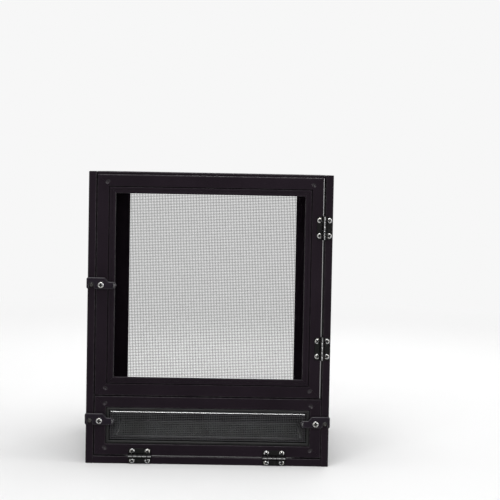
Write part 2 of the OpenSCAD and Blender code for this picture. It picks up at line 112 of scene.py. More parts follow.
# Hinges, measured from the pin
HINGE_LEN = 24 * MM
KNUCKLES = 5
KNUCKLE_R = 2.1 * MM
KNUCKLE_GAP = 0.3 * MM
KNUCKLE_EASE = 0.2 * MM
KNUCKLE_DRAW = 0.93
PIN_R = 1 * MM
PIN_HEAD_R = 1.6 * MM
PIN_HEAD_H = 0.6 * MM
PIN_DOME = ((0.35, 1.0), (0.8, 0.88), (1.0, 0.3), (1.0, 0.0))
PIN_SPOTS = 24
PIN_OUT = KNUCKLE_R + KNUCKLE_GAP
LEAF_T = 1 * MM
LEAF_REACH = 7.8 * MM
LEAF_ROUND = 1.1 * MM
LEAF_BEVEL = 0.25 * MM
CREST = 0.97 * KNUCKLE_R
LEAF_SCREW_OUT = 5 * MM
LEAF_SCREW_PITCH = 16 * MM

# Latches, measured from the pivot
HOOK_REACH = 15 * MM
HOOK_TOP = 7.8 * MM
HOOK_BOTTOM = 4.2 * MM
HOOK_ROUND = 2 * MM
THUMB_REACH = 15.7 * MM
THUMB_H = 7.6 * MM
SHOULDER_START = 4 * MM
SHOULDER_LEN = 3.5 * MM
SHOULDER_ROUND = 1.2 * MM
SHOULDER_FOOT = 1 * MM
SHOULDER_BACK = 0.6 * MM
MOUTH_LEAD = 0.8 * MM
LATCH_T = 3 * MM
LATCH_GAP = 0.3 * MM
LATCH_BEVEL = 0.8 * MM
KEEPER_REACH = 10 * MM
SLOT_R = 2.35 * MM
RIDGE_R = 0.95 * MM
RIDGE_AT = 0.52
RIDGE_TURN = 70
RIDGE_BLUNT = 1.02
RIDGE_STEPS = 14
RIDGE_SPOTS = 10

# Screw heads as diameter, height and height of the straight rim, and shares of a head's radius or height
HINGE_HEAD = (5.2 * MM, 1.6 * MM, 0.4 * MM)
CORNER_HEAD = (5.5 * MM, 1.8 * MM, 0.5 * MM)
PIVOT_HEAD = (6 * MM, 1.9 * MM, 0.5 * MM)
PANEL_HEAD = (5.6 * MM, 0.4 * MM, 0.06 * MM)
KEEPER_HEAD = (4 * MM, 2.95 * MM, 2.4 * MM)
HEAD_SPOTS = 48
DOME_SHARES = (0.0, 0.12, 0.35, 0.6, 0.8, 0.93, 1.0)
RECESS_SHARES = (0.3, 0.82, 0.97)
RECESS_ARM = 0.76
RECESS_SLOPE = math.tan(math.radians(20))
RECESS_OF_HIGH = 0.55
RECESS_OF_RADIUS = 0.3
RECESS_TIP = 0.1
RECESS_RIM = 0.02
FOOT_DRAW = 0.9
FOOT_SUNK = 0.1
CORNER_SCREW_LONG = 25 * MM
CORNER_SCREW_EDGE = 8.2 * MM
PANEL_SCREW_INSET = 20 * MM
TOP_PANEL_SETBACK = 8.6 * MM

# Studio, in metres: floor and backdrop, and the span over which paper fades to white
FLOOR_FRONT = -5.0
FLOOR_SIDE = 6.0
BEND_AT = 1.6
BEND_R = 0.8
WALL_TOP = 3.2
FADE_FROM = 0.5
FADE_TO = 1.8

# Strength of the light all round, and of the white that background rays see
AIR = 0.3
WHITE = 0.93


class Sock:
    """A socket of a material's nodes. Arithmetic on it adds Math nodes, and node() adds any other node."""

    def __init__(self, tree, socket=None):
        self.tree = tree
        self.socket = socket

    def node(self, kind, settings=None, inputs=None, out=0):
        """A new node of that type: its settings are set first, then the values or links of its sockets."""
        made = self.tree.nodes.new("ShaderNode" + kind)
        for key, value in (settings or {}).items():
            setattr(made, key, value)
        for key, value in (inputs or {}).items():
            if isinstance(value, Sock):
                self.tree.links.new(value.socket, made.inputs[key])
            else:
                made.inputs[key].default_value = value
        return Sock(self.tree, made.outputs[out])

    def math(self, operation, *values):
        """A Math node with that operation on values or sockets."""
        return self.node("Math", {"operation": operation}, dict(enumerate(values)))

    def __add__(self, other):
        return self.math("ADD", self, other)

    def __radd__(self, other):
        return self.math("ADD", other, self)

    def __sub__(self, other):
        return self.math("SUBTRACT", self, other)

    def __rsub__(self, other):
        return self.math("SUBTRACT", other, self)

    def __mul__(self, other):
        return self.math("MULTIPLY", self, other)

    def __rmul__(self, other):
        return self.math("MULTIPLY", other, self)

    def between(self, low, high, to_low=0.0, to_high=1.0):
        """The value carried from the span low to high onto the span to_low to to_high, and held there."""
        return self.node("MapRange", {}, {0: self, 1: low, 2: high, 3: to_low, 4: to_high})

    def tint(self, none, full):
        """A colour that goes from none to full as this value goes from 0 to 1."""
        return self.node("Mix", {"data_type": "RGBA"}, {0: self, 6: none, 7: full}, out=2)

    def stretched(self, scale):
        """This place with each coordinate times its scale."""
        return self.node("Mapping", {}, {"Vector": self, "Scale": scale})

    def noise(self, scale, detail=2.0):
        """Soft noise over this place, with scale as patches in a metre."""
        return self.node("TexNoise", {}, {"Vector": self, "Scale": scale, "Detail": detail})

    def cells(self, scale):
        """Distance to the nearest of scattered points, with scale as cells in a metre."""
        return self.node("TexVoronoi", {}, {"Vector": self, "Scale": scale})

    def bump(self, distance, strength):
        """A normal from this value as a height, whose full range is distance in metres."""
        return self.node("Bump", {}, {"Height": self, "Distance": distance, "Strength": strength})


class Finish:
    """A material with one Principled shader: constants go on its own sockets, and what varies is linked."""

    def __init__(self, name, constants):
        self.material = bpy.data.materials.new(name)
        self.material.use_nodes = True
        self.tree = self.material.node_tree
        self.shader = self.tree.nodes["Principled BSDF"]
        for socket, value in constants.items():
            self.shader.inputs[socket].default_value = value
        any_socket = Sock(self.tree)
        self.place = any_socket.node("TexCoord", out="Object")
        self.strip = any_socket.node("TexCoord", out="UV")
        self.edge = any_socket.node("Attribute", {"attribute_name": "edge"}, out="Fac")

    def vary(self, links):
        """Links what varies to the shader's sockets, and gives the material."""
        for socket, value in links.items():
            self.tree.links.new(value.socket, self.shader.inputs[socket])
        return self.material


def grey(level, warm=0.0):
    """A near-neutral colour; warm above 0 leans to red, below 0 to blue."""
    return (level * (1 + warm), level, level * (1 - warm), 1.0)


def anodised_black():
    """Satin black anodised extrusion: die lines along the rail, a faint cloud in the dye, paler and polished
    edges, painted shade that darkens the dull grooves, dull inner faces and a door's gap-facing sides
    towards black, inner faces that are smooth as drawn, and edges rubbed to thin dye."""
    finish = Finish("black_anodised_rail", {
        "Specular IOR Level": 0.07, "Specular Tint": (1.0, 0.84, 0.98, 1.0), "Coat Roughness": 0.2})
    cloud = finish.place.noise(22.0, 3.0)
    lines = finish.strip.stretched((2600.0, 9.0, 1.0)).noise(1.0, 3.0)
    rounded_off = finish.edge.between(0.0, 1.0)
    worn = rounded_off * finish.place.noise(260.0, 4.0).between(0.4, 0.75)
    smooth = finish.edge.between(-1.0, -2.0)
    # dull marks grooves, dull inner faces and a door's gap-facing sides: it raises roughness, and below it
    # carries painted shade
    dull = finish.edge.between(0.0, -1.0) - smooth
    bare = finish.edge.between(2.0, 3.0)
    dyed = cloud.between(0.3, 0.7).tint((0.0060, 0.0040, 0.0060, 1.0), (0.0090, 0.0060, 0.0090, 1.0))
    # Painted shade: where dull, the colour goes most of the way to near black
    coated = (0.6 * dull).tint((worn * 0.25).tint(dyed, grey(0.075)), grey(0.001))
    colour = bare.tint(coated, grey(0.46))
    rough = 0.37 + 0.12 * (lines - 0.5) + 0.10 * (cloud - 0.5) - 0.08 * worn + 0.5 * dull - 0.2 * smooth
    return finish.vary({"Base Color": colour, "Roughness": rough, "Metallic": bare,
                        "Normal": lines.bump(0.00003, 0.5),
                        "Coat Weight": 0.1 * rounded_off + 0.25 * finish.edge.between(1.0, 2.0)})


def screen_wire():
    """Charcoal coated aluminium wire, a little polished where the coat is thin."""
    finish = Finish("woven_screen", {"Specular IOR Level": 0.25, "Specular Tint": grey(0.5)})
    cloud = finish.place.noise(40.0, 3.0)
    speck = finish.place.noise(900.0, 2.0)
    colour = cloud.between(0.3, 0.7).tint(grey(0.05), grey(0.085, -0.03))
    rough = 0.42 + 0.16 * (speck - 0.5)
    return finish.vary({"Base Color": colour, "Roughness": rough,
                        "Metallic": speck.between(0.4, 0.7, 0.25, 0.5)})


def floor_black():
    """Matt black sheet with a pressed pebble grain and faint scuffs."""
    finish = Finish("floor_plastic", {"Specular IOR Level": 0.1})
    grain = finish.place.cells(900.0)
    scuff = finish.place.stretched((60.0, 7.0, 20.0)).noise(1.0, 5.0)
    colour = scuff.between(0.45, 0.75).tint(grey(0.009), grey(0.019))
    rough = scuff.between(0.35, 0.7, 0.85, 0.68)
    return finish.vary({"Base Color": colour, "Roughness": rough, "Normal": grain.bump(0.00012, 0.6)})


def spline_vinyl():
    """Soft dull black vinyl with a skin that is shinier where it was rolled into the channel."""
    finish = Finish("black_vinyl", {"Specular IOR Level": 0.15})
    cloud = finish.place.noise(55.0, 3.0)
    grain = finish.place.noise(1800.0, 2.0)
    colour = cloud.between(0.3, 0.7).tint(grey(0.008), grey(0.014))
    rough = 0.32 + 0.10 * (cloud - 0.5) + 0.06 * (grain - 0.5)
    return finish.vary({"Base Color": colour, "Roughness": rough, "Normal": grain.bump(0.00004, 0.4)})


def cloudy_vinyl():
    """Clear vinyl bead, milky where it was bent and slightly yellowed in patches."""
    finish = Finish("clear_vinyl", {"Transmission Weight": 0.45, "IOR": 1.5})
    cloud = finish.place.noise(70.0, 3.0)
    colour = cloud.between(0.3, 0.7).tint((0.80, 0.81, 0.78, 1.0), (0.90, 0.91, 0.90, 1.0))
    rough = cloud.between(0.3, 0.7, 0.42, 0.30)
    return finish.vary({"Base Color": colour, "Roughness": rough})


def clear_acrylic():
    """Polished clear acrylic: a thin clear body that bends no light, under a hard gloss that grows towards
    grazing views and is dimmed by hair-fine wiping marks."""
    finish = Finish("clear_acrylic", {
        "Transmission Weight": 1.0, "IOR": 1.0, "Alpha": 0.15, "Coat IOR": 1.49, "Coat Roughness": 0.02})
    facing = finish.place.node("LayerWeight", {}, {"Blend": 0.5}, out="Facing")
    swirl = finish.place.stretched((30.0, 30.0, 400.0)).noise(1.0, 4.0)
    haze = finish.place.noise(14.0, 2.0)
    colour = haze.tint((0.975, 0.985, 0.98, 1.0), (0.995, 1.0, 0.998, 1.0))
    marks = swirl.between(0.62, 0.8)
    return finish.vary({"Base Color": colour, "Roughness": 0.05 * marks,
                        "Coat Weight": facing.between(0.25, 0.8) * (1 - 0.4 * marks)})


def key_nylon():
    """Moulded black nylon with a fine spark grain."""
    finish = Finish("key_nylon", {})
    grain = finish.place.noise(1500.0, 2.0)
    colour = finish.place.noise(60.0).tint(grey(0.022), grey(0.036))
    return finish.vary({"Base Color": colour, "Roughness": 0.5 + 0.1 * (grain - 0.5),
                        "Normal": grain.bump(0.00006, 0.5)})


def latch_black():
    """Satin moulded black plastic: fine grain, flow marks, polish along handled edges, and a thumb ridge
    painted paler as a highlight.
    """
    finish = Finish("latch_plastic", {
        "Specular IOR Level": 0.12, "Specular Tint": (0.92, 0.84, 1.0, 1.0), "Coat Roughness": 0.15})
    grain = finish.place.noise(2600.0, 2.0)
    flow = finish.place.stretched((40.0, 40.0, 160.0)).noise(1.0, 4.0)
    handled = finish.edge * flow.between(0.35, 0.65)
    dyed = flow.between(0.3, 0.7).tint((0.0050, 0.0034, 0.0056, 1.0), (0.0080, 0.0056, 0.0088, 1.0))
    # Paler handled edges are wear; the thumb ridge (edge 2) is a painted highlight
    pale = 0.1 * handled + 0.5 * finish.edge.between(1.0, 2.0)
    colour = pale.tint(dyed, grey(0.09))
    rough = 0.36 + 0.10 * (flow - 0.5) - 0.10 * handled
    return finish.vary({"Base Color": colour, "Roughness": rough, "Normal": grain.bump(0.00004, 0.5),
                        "Coat Weight": 0.5 * finish.edge})


def hinge_black():
    """Black coated steel: glossy coat with a slight orange peel, paler in spots, rubbed bare on the
    knuckles."""
    finish = Finish("black_hinge", {"Specular IOR Level": 0.14})
    peel = finish.place.noise(700.0, 2.0)
    rub = finish.place.noise(330.0, 4.0).between(0.58, 0.72)
    bare = finish.edge * finish.place.noise(420.0, 3.0).between(0.3, 0.5)
    colour = bare.tint(rub.tint(grey(0.0022, 0.03), grey(0.010, 0.06)), grey(0.36))
    rough = 0.15 + 0.10 * (peel - 0.5) + 0.10 * rub + 0.15 * bare
    return finish.vary({"Base Color": colour, "Roughness": rough, "Metallic": bare,
                        "Normal": peel.bump(0.00005, 0.4)})


def oxide_black():
    """Black oxide on screw steel, brownish where it is thin."""
    finish = Finish("black_screw", {"Metallic": 0.35})
    patch = finish.place.noise(700.0, 3.0)
    colour = patch.between(0.35, 0.7).tint(grey(0.012), grey(0.034, 0.12))
    rough = patch.between(0.3, 0.7, 0.30, 0.44)
    return finish.vary({"Base Color": colour, "Roughness": rough})


def zinc_bright():
    """Bright zinc on screw steel: silvery, with straw patches and fine drawing marks, rougher in the recess
    and darkened there with painted shade.
    """
    finish = Finish("bright_screw", {"Metallic": 1.0})
    patch = finish.place.noise(420.0, 3.0)
    marks = finish.place.stretched((900.0, 900.0, 5000.0)).noise(1.0, 2.0)
    plated = patch.between(0.35, 0.7).tint((0.50, 0.51, 0.53, 1.0), (0.46, 0.44, 0.39, 1.0))
    # Painted shade: the recess (edge 1) is darkened to near black
    colour = finish.edge.tint(plated, grey(0.02))
    rough = 0.17 + 0.14 * (marks - 0.5) + 0.10 * (patch - 0.5) + 0.3 * finish.edge
    return finish.vary({"Base Color": colour, "Roughness": rough, "Normal": marks.bump(0.00002, 0.3)})


FINISHES = {
    "black_anodised_rail": anodised_black(),
    "woven_screen": screen_wire(),
    "floor_plastic": floor_black(),
    "black_vinyl": spline_vinyl(),
    "clear_vinyl": cloudy_vinyl(),
    "clear_acrylic": clear_acrylic(),
    "key_nylon": key_nylon(),
    "latch_plastic": latch_black(),
    "black_hinge": hinge_black(),
    "black_screw": oxide_black(),
    "bright_screw": zinc_bright(),
}


def unit(vectors):
    """Vectors divided by their lengths."""
    return vectors / np.linalg.norm(vectors, axis=-1, keepdims=True)


def rounded(corners, steps=4):
    """Closed outline through corners (x, y, radius). Each corner is an arc that touches both of its
    edges, with one more point EASE before and after it, so that smooth shading stays off the flats. Also
    gives 1 on arcs and 0 elsewhere."""
    spots = np.array(corners, float)
    at = spots[:, :2]
    back = unit(np.roll(at, 1, 0) - at)
    ahead = unit(np.roll(at, -1, 0) - at)
    half = np.arccos((back * ahead).sum(1)) / 2
    reach = (spots[:, 2] / np.tan(half))[:, None]
    centre = at + unit(back + ahead) * (spots[:, 2] / np.sin(half))[:, None]
    turn = (math.pi - 2 * half)[:, None]
    share = np.linspace(0, 1, steps + 1)[None]
    from_start = (np.sin((1 - share) * turn) / np.sin(turn))[..., None]
    from_end = (np.sin(share * turn) / np.sin(turn))[..., None]
    start = (at + back * reach - centre)[:, None]
    end = (at + ahead * reach - centre)[:, None]
    arcs = centre[:, None] + from_start * start + from_end * end
    before = (at + back * (reach + EASE))[:, None]
    after = (at + ahead * (reach + EASE))[:, None]
    outline = np.concatenate([before, arcs, after], axis=1)
    on_arc = np.ones(outline.shape[:2])
    on_arc[:, [0, -1]] = 0
    return outline.reshape(-1, 2), on_arc.reshape(-1)


def shell(points, loop=False):
    """Faces over tubes of points[tube, ring, spot]. The spots close round each ring. The rings close
    round each tube if it is a loop, or else each tube gets a face at both ends."""
    index = np.arange(points[..., 0].size).reshape(points.shape[:3])
    beside = np.roll(index, -1, axis=2)
    last = None if loop else -1
    here = np.stack([index, beside], -1)[:, :last]
    there = np.roll(np.stack([beside, index], -1), -1, axis=1)[:, :last]
    quads = np.concatenate([here, there], -1).reshape(-1, 4)
    ends = [] if loop else [index[:, 0], index[:, -1]]
    return points.reshape(-1, 3), [quads, *ends]


def join(shells):
    """Several shells as one: points in a row, and each shell's faces counted on from the points before it."""
    starts = np.cumsum([0] + [len(points) for points, _ in shells])
    groups = [faces + start for (_, sides), start in zip(shells, starts) for faces in sides]
    return np.concatenate([points for points, _ in shells]), groups


def stand(points, origin, across, up, out):
    """Points (x, y, z) set up at an origin: x goes across, y goes up and z goes out."""
    return points @ np.array([across, up, out]) + np.array(origin)


def piece(name, solid, slot, body, nodes, strip=None, edge=None):
    """Makes a shell a mesh with outward faces and its finish, rides it on its body and puts it in place
    of nodes. strip is a flat place for each point, across and along a rail, and edge is a value for each
    point that the finish reads."""
    points, groups = solid
    mesh = bpy.data.meshes.new(name)
    mesh.from_pydata(points.tolist(), [], [face for faces in groups for face in faces.tolist()])
    faces = bmesh.new()
    faces.from_mesh(mesh)
    bmesh.ops.recalc_face_normals(faces, faces=faces.faces)
    faces.to_mesh(mesh)
    faces.free()
    mesh.set_sharp_from_angle(angle=SHARP)
    sides = np.empty(len(mesh.polygons), np.int32)
    mesh.polygons.foreach_get("loop_total", sides)
    mesh.polygons.foreach_set("use_smooth", sides <= 4)
    if strip is not None:
        corners = np.empty(len(mesh.loops), np.int32)
        mesh.loops.foreach_get("vertex_index", corners)
        mesh.uv_layers.new(name="strip").data.foreach_set("uv", strip[corners].ravel())
    if edge is not None:
        mesh.attributes.new("edge", "FLOAT", "POINT").data.foreach_set("value", edge)
    mesh.materials.append(FINISHES[slot])
    made = bpy.data.objects.new(name, mesh)
    bpy.context.scene.collection.objects.link(made)
    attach(made, body)
    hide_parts(*nodes)


class Panel:
    """A flat panel: a corner of its outer face, its directions across, up and inwards, and its size along
    them. Rails may stand past their nodes at the foot, head or start, where a seam is closer than its
    play."""

    def __init__(self, name, across, up, rails, body, foot=0.0, head=0.0, start=0.0):
        self.name = name
        self.nodes = [f"{name}_{rail}" for rail in rails]
        self.body = body
        lows, highs = zip(*(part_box(node) for node in self.nodes))
        low = np.min(lows, axis=0)
        high = np.max(highs, axis=0)
        self.axes = np.array([across, up, np.cross(across, up)])
        self.corner = np.where(self.axes.sum(0) > 0, low, high) - [start, foot, 0] @ self.axes
        self.w, self.h, _ = np.abs(self.axes) @ (high - low) + [start, foot + head, 0]

    def at(self, x, y, depth):
        """Points at x across, y up and a depth below the outer face."""
        return np.stack(np.broadcast_arrays(x, y, depth), -1) @ self.axes + self.corner

    def side_spot(self, side, along, inward):
        """Places on one side, numbered round the panel: along it from its first corner, and inwards from
        it."""
        corners = (0, self.w, self.w + 1j * self.h, 1j * self.h)
        spot = corners[side] + (along + 1j * inward) * 1j ** side
        return spot.real, spot.imag


# Rails of a panel are listed round it: at its foot, at the far end, along its head and at its start
PANELS = {
    "left": Panel("left", Y, Z, ("bottom_rail", "rear_post", "top_rail", "front_post"), "cage"),
    "right": Panel("right", -Y, Z, ("bottom_rail", "front_post", "top_rail", "rear_post"), "cage"),
    "back": Panel("back", X, Z, ("bottom_rail", "right_post", "top_rail", "left_post"), "cage"),
    "top": Panel("top", X, -Y, ("rear_rail", "right_rail", "front_rail", "left_rail"), "cage"),
    "bottom": Panel("bottom", X, Y, ("front_rail", "right_rail", "rear_rail", "left_rail"), "cage"),
    "door": Panel("door", -X, Z, ("bottom_rail", "left_stile", "top_rail", "right_stile"), "front_door",
                  foot=SEAM_FILL),
    "flap": Panel("flap", -X, Z, ("bottom_rail", "left_stile", "top_rail", "right_stile"), "lower_door",
                  head=SEAM_FILL, start=SIDE_FILL),
}
SCREENED = ("left", "right", "back", "top", "flap")
DENTED = ("door", "flap")
# Side panels whose inner faces are dull and darkened with painted shade
DULL_SHADED_INSIDE = ("left", "right")


def screen_section():
    """Outline of a rail with a spline channel open at its outer face and a lower, sloped lip beside it."""
    return rounded([
        (0, 0, EDGE_ROUND), (TUBE_W, 0, EDGE_ROUND), (TUBE_W, CHANNEL_FLOOR, INNER_ROUND),
        (LIP_EDGE, CHANNEL_FLOOR, INNER_ROUND), (LIP_EDGE, LIP_TOP + LIP_SLOPE_D, INNER_ROUND),
        (LIP_EDGE + LIP_SLOPE_W, LIP_TOP, INNER_ROUND), (RAIL_W, LIP_TOP, INNER_ROUND),
        (RAIL_W, RAIL_T, EDGE_ROUND), (0, RAIL_T, EDGE_ROUND),
    ])


def notch(start, width, depth):
    """Four corners of a groove in the outer face, with rounded rims and floor."""
    soft = depth * NOTCH_ROUND
    return [(start, 0, soft), (start + soft, depth, soft), (start + width - soft, depth, soft),
            (start + width, 0, soft)]


def glazed_section():
    """Outline of a rail with a flat flange at its outer face, one groove beside the tube and one finer
    line."""
    return rounded([
        (0, 0, EDGE_ROUND),
        *notch(TUBE_W, GROOVE_W, GROOVE_D), *notch(FINE_LINE_AT, FINE_LINE_W, FINE_LINE_D),
        (RAIL_W, 0, EDGE_ROUND), (RAIL_W, FLANGE_T, INNER_ROUND), (TUBE_W, FLANGE_T, INNER_ROUND),
        (TUBE_W, RAIL_T, EDGE_ROUND), (0, RAIL_T, EDGE_ROUND),
    ])


def dent(panel, x, y):
    """Share of the punch mark's depth at each corner of a panel: an oval bowl that lies square to the
    mitre and falls off as (1 - r^2)^2, where r is 1 at its rim."""
    along = np.minimum(x, panel.w - x) - DENT_ALONG
    inward = np.minimum(y, panel.h - y) - DENT_INWARD
    r = np.hypot((along + inward) / DENT_SHORT, (along - inward) / DENT_LONG) / math.sqrt(2)
    return np.clip(1 - r ** 2, 0, 1) ** 2


def rails(panel):
    """An outline carried along each side of a panel. Each ring is sheared by its distance inwards, so
    both ends are mitres. Rings and outline points crowd together round a punch mark, and the mark's bowl
    is taken off the face. The edge value is 1 on rounded edges, 2 in punch marks, 3 on a rubbed lip or
    edge, -1 where the finish paints shade on a dull face (in grooves, on dull inner faces and on the sides
    of a door that face a gap), and -2 on a smooth inner face."""
    dented = panel.name in DENTED
    outline, on_arc = screen_section() if panel.name in SCREENED else glazed_section()
    inward, depth = outline.T
    in_groove = (inward >= TUBE_W) & (inward < RAIL_W - EDGE_ROUND)
    in_groove &= (depth > EASE) & (depth < LIP_TOP)
    # -1 is painted shade on a dull face: grooves here, and the inner faces of dull panels next
    on_arc[in_groove] = -1
    on_arc[depth >= RAIL_T] = -1 if panel.name in DULL_SHADED_INSIDE else -2
    ends = np.array([MITRE_GAP])
    if dented:
        face = np.linspace(DENT_INWARD - DENT_LONG, DENT_INWARD + DENT_LONG, DENT_STEPS)
        after_first = len(np.flatnonzero(outline[:, 0] < EDGE_ROUND + 2 * EASE)) // 2
        outline = np.insert(outline, after_first, np.column_stack([face, face * 0]), axis=0)
        on_arc = np.insert(on_arc, after_first, face * 0)
        ends = MITRE_GAP + np.linspace(0, DENT_ALONG - DENT_INWARD + 1.5 * DENT_LONG, DENT_STEPS)
        # The door's sides that face a gap get -1 too: dull, with painted shade
        on_arc[[0, -1]] = -1
    outline = np.roll(outline, -STRIP_START, axis=0)
    on_arc = np.roll(on_arc, -STRIP_START)
    inward, depth = outline.T
    on_lip = (inward >= LIP_EDGE) & (inward <= LIP_EDGE + LIP_SLOPE_W + EASE)
    on_lip &= (depth >= LIP_TOP) & (depth <= LIP_TOP + LIP_SLOPE_D)
    on_brink = (inward < EDGE_ROUND) & (depth < EDGE_ROUND)
    rubbed = {"flap_top_rail": on_lip, "door_right_stile": on_brink}
    steps = np.linalg.norm(np.diff(outline, axis=0, prepend=outline[:1]), axis=1)
    for side, node in enumerate(panel.nodes):
        length = (panel.w, panel.h)[side % 2]
        along = np.concatenate([ends[:, None] + inward, length - ends[::-1, None] - inward])
        x, y = panel.side_spot(side, along, inward)
        sunk = np.broadcast_to(depth, x.shape)
        punched = np.where(sunk < EASE, dent(panel, x, y), 0) if dented else np.zeros(x.shape)
        strip = np.stack(np.broadcast_arrays(np.cumsum(steps), along), -1).reshape(-1, 2)
        edge = np.where(punched > 0, 2, np.where(rubbed.get(node, False), 3, on_arc)).ravel()
        solid = shell(panel.at(x, y, sunk + DENT_D * punched)[None])
        piece(f"{node}.extrusion", solid, "black_anodised_rail", panel.body, [node], strip, edge)


def wires(panel, span, width, layer, upright):
    """Straight wires side by side over a width. Each runs from inside one channel, up over the lip,
    across the span and down into the other channel. A ring has four spots at WIRE_R from the wire's
    middle."""
    count = round((width - 2 * LIP_EDGE) / WIRE_PITCH)
    beside = LIP_EDGE + (np.arange(count) + 0.5) * (width - 2 * LIP_EDGE) / count
    half = np.array([
        [WIRE_EDGE, WIRE_TUCK], [WIRE_EDGE, layer + LIP_SLOPE_D], [WIRE_EDGE + LIP_SLOPE_W, layer]])
    slope = math.atan2(LIP_SLOPE_W, LIP_SLOPE_D)
    facing = np.array([[-1, 0], [-1, -math.tan(slope / 2)], [-math.tan((math.pi / 2 - slope) / 2), -1]])
    path = np.concatenate([half, half[::-1] * [-1, 1] + [span, 0]])[None, :, None]
    facing = np.concatenate([facing, facing[::-1] * [-1, 1]])[None, :, None]
    turn = np.arange(4) * math.pi / 2
    ring = path + WIRE_R * np.cos(turn)[None, None, :, None] * facing
    across = beside[:, None, None] + WIRE_R * np.sin(turn)
    along, across, depth = np.broadcast_arrays(ring[..., 0], across, ring[..., 1])
    x, y = (across, along) if upright else (along, across)
    return shell(panel.at(x, y, depth))


def screen(panel):
    """A screen of two touching layers of wires, level wires outermost."""
    outer = LIP_TOP - 3 * WIRE_R
    solid = join([wires(panel, panel.w, panel.h, outer, False),
                  wires(panel, panel.h, panel.w, outer + 2 * WIRE_R, True)])
    node = f"{panel.name}_screen"
    piece(f"{node}.wires", solid, "woven_screen", panel.body, [node])


def surround(panel, outline, stations=2, wave=0.0):
    """An outline (inward, depth) carried round a panel as a closed frame with mitred corners. Points
    above the outline's middle depth rise and fall by wave along each side, as the sum of two sines."""
    inward, depth = outline.T
    share = np.linspace(0, 1, stations, endpoint=False)[None, :, None]
    side = np.arange(4)[:, None, None]
    corners = [panel.side_spot(k, inward, inward) for k in range(4)]
    x, y = np.array(corners).transpose(1, 0, 2)
    x = x[:, None] * (1 - share) + np.roll(x, -1, 0)[:, None] * share
    y = y[:, None] * (1 - share) + np.roll(y, -1, 0)[:, None] * share
    swell = np.sin(share * 9.0 + side * 2.1) + 0.7 * np.sin(share * 23.0 + side * 4.0)
    crown = np.clip((depth.mean() - depth) / (depth.mean() - depth.min()), 0, 1)
    sunk = depth + wave * swell * crown * np.sin(math.pi * share)
    return shell(panel.at(x, y, sunk).reshape(1, -1, len(outline), 3), loop=True)


def spline_section():
    """Outline of a vinyl spline that fills its channel: a half ellipse of height SPLINE_CROWN on a foot."""
    middle = (TUBE_W + SPLINE_EDGE) / 2
    half = (SPLINE_EDGE - TUBE_W) / 2 - SHEET_GAP
    turn = np.linspace(0, math.pi, 13)
    crown = np.column_stack([middle + half * np.cos(turn), SPLINE_TOP + SPLINE_CROWN * (1 - np.sin(turn))])
    low = CHANNEL_FLOOR - SHEET_GAP
    foot = np.array([[middle - half, low], [middle + half, low]])
    return np.concatenate([crown, foot])


def bead_section(sheet_top):
    """Outline of a glazing bead: flat against the tube and the sheet, with a quarter-round face inwards."""
    low = TUBE_W + SHEET_GAP
    top = RAIL_T - BEAD_DROP
    turn = np.linspace(0, math.pi / 2, 9)
    seat = sheet_top + SHEET_GAP
    face = np.column_stack([low + BEAD_FOOT + (BEAD_W - BEAD_FOOT) * np.sin(turn),
                            seat + (top - seat) * np.cos(turn)])
    return np.concatenate([face, [[low, seat], [low, top]]])


def plate(outline, low, high, bevel, both=False):
    """A flat outline carried from z = low to high. Near the top, and at the foot too if both, the rings
    draw in along the outline's own normals as a quarter round of radius bevel, with one more ring EASE
    inside it on the flat."""
    ahead = unit(np.roll(outline, -1, 0) - outline)
    normal = np.column_stack([ahead[:, 1], -ahead[:, 0]])
    normal = normal + np.roll(normal, 1, 0)
    normal = 2 * normal / (normal ** 2).sum(1, keepdims=True)
    turn = np.linspace(0, math.pi / 2, 5)
    inset = np.append(bevel * (1 - np.cos(turn)), bevel + EASE)
    rise = np.append(high - bevel * (1 - np.sin(turn)), high)
    if both:
        inset = np.concatenate([inset[::-1], inset])
        rise = np.concatenate([low + high - rise[::-1], rise])
    else:
        inset = np.concatenate([[0], inset])
        rise = np.concatenate([[low], rise])
    flat = outline[None] - normal[None] * inset[:, None, None]
    return np.concatenate([flat, np.broadcast_to(rise[:, None, None], flat.shape[:2] + (1,))], axis=2)


def sheet(node, slot, panel, thick):
    """A pane or floor: a rectangle with eased corners and edges, just inside the flange."""
    near = TUBE_W + SHEET_PLAY
    far_x = panel.w - near
    far_y = panel.h - near
    corners = ((near, near), (far_x, near), (far_x, far_y), (near, far_y))
    outline, _ = rounded([(*corner, SHEET_BEVEL) for corner in corners])
    rings = plate(outline, FLANGE_T + SHEET_GAP, FLANGE_T + thick, SHEET_BEVEL, both=True)
    piece(f"{node}.sheet", shell(panel.at(*np.moveaxis(rings, -1, 0))[None]), slot, panel.body, [node])


